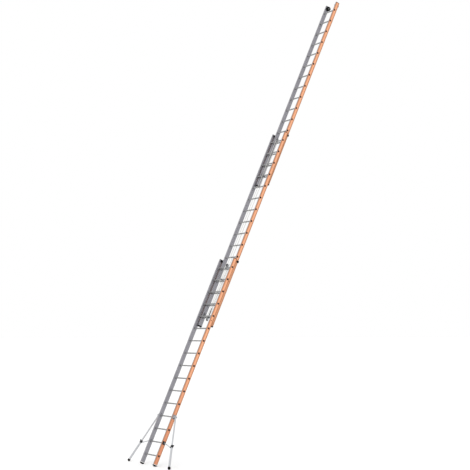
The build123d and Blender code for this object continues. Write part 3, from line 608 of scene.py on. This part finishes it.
class LADDER_OT_bands(bpy.types.Operator):
    """Fit the pale bands above the shoes and the black sleeves on the lower ends of the sliding stiles"""

    bl_idname = "ladder.bands"
    bl_label = "Stile bands"

    def execute(self, context):
        trims, colours = context.scene.ladder_trims, context.scene.ladder_colours
        pale = moulded_finish("band_finish", colours.band, 0.5, 600.0)
        black = moulded_finish("end_sleeve_finish", colours.plastic, 0.5, 600.0)
        for section, rise, material in (
            ("base", trims.band, pale),
            ("mid", trims.end_sleeve, black),
            ("top", trims.end_sleeve, black),
        ):
            for hand in ("left", "right"):
                foot = stile_foot(f"{section}_stile_{hand}")
                rings = []
                for reach, up in (
                    (TRIM_FIT, TRIM_LIFT),
                    (TRIM_OUT, TRIM_LIFT),
                    (TRIM_OUT, rise),
                    (TRIM_FIT, rise),
                ):
                    centre = foot + ALONG * up
                    rings.append(self.outline(centre, STILE_WIDTH / 2 + reach, STILE_DEPTH / 2 + reach))
                band = mesh_object(f"{section}_band_{hand}", *skin(rings, closed=True))
                paint(band, material)
                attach(band, section)
        return {"FINISHED"}

    def outline(self, centre, half_width, half_depth):
        """A rounded rectangle square to the stile."""
        ring = []
        for quarter, (sx, sy) in enumerate(((1, 1), (-1, 1), (-1, -1), (1, -1))):
            for step in range(CORNER_STEPS + 1):
                angle = pi / 2 * (quarter + step / CORNER_STEPS)
                x = sx * (half_width - STILE_CORNER) + STILE_CORNER * cos(angle)
                y = sy * (half_depth - STILE_CORNER) + STILE_CORNER * sin(angle)
                ring.append(centre + ACROSS * x + BEHIND * y)
        return ring


class LADDER_OT_finishes(bpy.types.Operator):
    """Give every piece carried over from the frame its finish"""

    bl_idname = "ladder.finishes"
    bl_label = "Finishes"

    def execute(self, context):
        colours = context.scene.ladder_colours
        finishes = {
            "leg_aluminium": drawn_finish("leg_finish", colours.leg, 0.55, 0.36),
            "zinc_steel": drawn_finish("zinc_finish", colours.zinc, 0.9, 0.34),
            "dark_casting": cast_finish("casting_finish", colours.casting),
            "black_rubber": moulded_finish("rubber_finish", colours.rubber, 0.66, 380.0),
            "black_plastic": moulded_finish("plastic_finish", colours.plastic, 0.42, 700.0),
            "rope_fibre": bpy.data.materials["rope_finish"],
        }
        for section in SECTIONS:
            finishes[f"{section}_stile"] = stile_finish(section, colours)
            finishes[f"{section}_rungs"] = rung_finish(section, colours)
        for part in frame["record"]["subparts"]:
            node = frame["nodes"][part["node"]]
            own = part["node"].removesuffix("_left").removesuffix("_right")
            material = finishes.get(own) or finishes[part["material_slot"]]
            for place in node.material_slots:
                place.material = material
        return {"FINISHED"}


class LADDER_OT_stage(bpy.types.Operator):
    """Set the pale floor, the soft lights and the camera"""

    bl_idname = "ladder.stage"
    bl_label = "Stage"

    def execute(self, context):
        self.floor(context)
        self.lights(context)
        self.camera(context)
        return {"FINISHED"}

    def floor(self, context):
        """A wide pale floor."""
        shape = bmesh.new()
        bmesh.ops.create_circle(shape, cap_ends=True, segments=96, radius=400)
        mesh = bpy.data.meshes.new("floor")
        shape.to_mesh(mesh)
        shape.free()
        floor = bpy.data.objects.new("floor", mesh)
        floor.location.z = -0.001
        context.scene.collection.objects.link(floor)
        finish = Finish("floor_finish")
        tint = context.scene.ladder_colours.floor
        finish.set(
            Base_Color=finish.mix(finish.noise(0.6, 3.0), shade(tint, 0.99), shade(tint, 1.01)),
            Roughness=0.9,
            Specular_IOR_Level=0.1,
        )
        mesh.materials.append(finish.material)

    def lights(self, context):
        """An even white surround and two soft suns."""
        world = bpy.data.worlds.new("surround")
        world.use_nodes = True
        world.node_tree.nodes["Background"].inputs["Color"].default_value = (1, 1, 1, 1)
        world.node_tree.nodes["Background"].inputs["Strength"].default_value = 1.0
        context.scene.world = world
        for name, energy, angle, towards in (
            ("key", 0.8, 0.5, Vector((-0.75, 0.5, -0.6))),
            ("fill", 0.2, 0.9, Vector((0.5, 0.8, -0.35))),
        ):
            lamp = bpy.data.lights.new(name, "SUN")
            lamp.energy, lamp.angle = energy, angle
            sun = bpy.data.objects.new(name, lamp)
            sun.rotation_mode = "QUATERNION"
            sun.rotation_quaternion = towards.to_track_quat("-Z", "Y")
            context.scene.collection.objects.link(sun)
        context.scene.view_settings.view_transform = "Standard"

    def camera(self, context):
        """A long lens from the climber's right, a little below the middle of the ladder."""
        lens = bpy.data.cameras.new("camera")
        lens.sensor_width = 36
        lens.lens = 97.66
        lens.clip_start, lens.clip_end = 0.5, 2000
        camera = bpy.data.objects.new("camera", lens)
        camera.location = (23.704, -11.130, 2.732)
        camera.rotation_mode = "QUATERNION"
        aim = Vector((-0.87229, 0.48321, 0.07435)).to_track_quat("-Z", "Y")
        roll = Quaternion((0, 0, 1), -0.0015)
        camera.rotation_quaternion = aim @ roll
        context.scene.collection.objects.link(camera)
        context.scene.camera = camera


class LADDER_PT_panel(bpy.types.Panel):
    """Lists the ladder's operators and settings"""

    bl_label = "Ladder"
    bl_idname = "LADDER_PT_panel"
    bl_space_type = "VIEW_3D"
    bl_region_type = "UI"
    bl_category = "Ladder"

    def draw(self, context):
        for operator in OPERATORS:
            self.layout.operator(operator.bl_idname)
        for name in SETTINGS:
            group = getattr(context.scene, name)
            for key in group.__annotations__:
                self.layout.prop(group, key)


SETTINGS = {"ladder_ropes": LadderRopes, "ladder_trims": LadderTrims, "ladder_colours": LadderColours}
OPERATORS = (
    LADDER_OT_stage,
    LADDER_OT_ropes,
    LADDER_OT_springs,
    LADDER_OT_sleeve,
    LADDER_OT_bands,
    LADDER_OT_finishes,
)


def register():
    """Registers the settings, operators and panel."""
    for name, group in SETTINGS.items():
        bpy.utils.register_class(group)
        setattr(bpy.types.Scene, name, PointerProperty(type=group))
    for operator in OPERATORS:
        bpy.utils.register_class(operator)
    bpy.utils.register_class(LADDER_PT_panel)


def unregister():
    """Takes them away again."""
    bpy.utils.unregister_class(LADDER_PT_panel)
    for operator in reversed(OPERATORS):
        bpy.utils.unregister_class(operator)
    for name, group in SETTINGS.items():
        delattr(bpy.types.Scene, name)
        bpy.utils.unregister_class(group)


def main():
    """Builds the stage and every piece."""
    register()
    for operator in OPERATORS:
        category, action = operator.bl_idname.split(".")
        getattr(getattr(bpy.ops, category), action)()


if __name__ == "__main__":
    main()
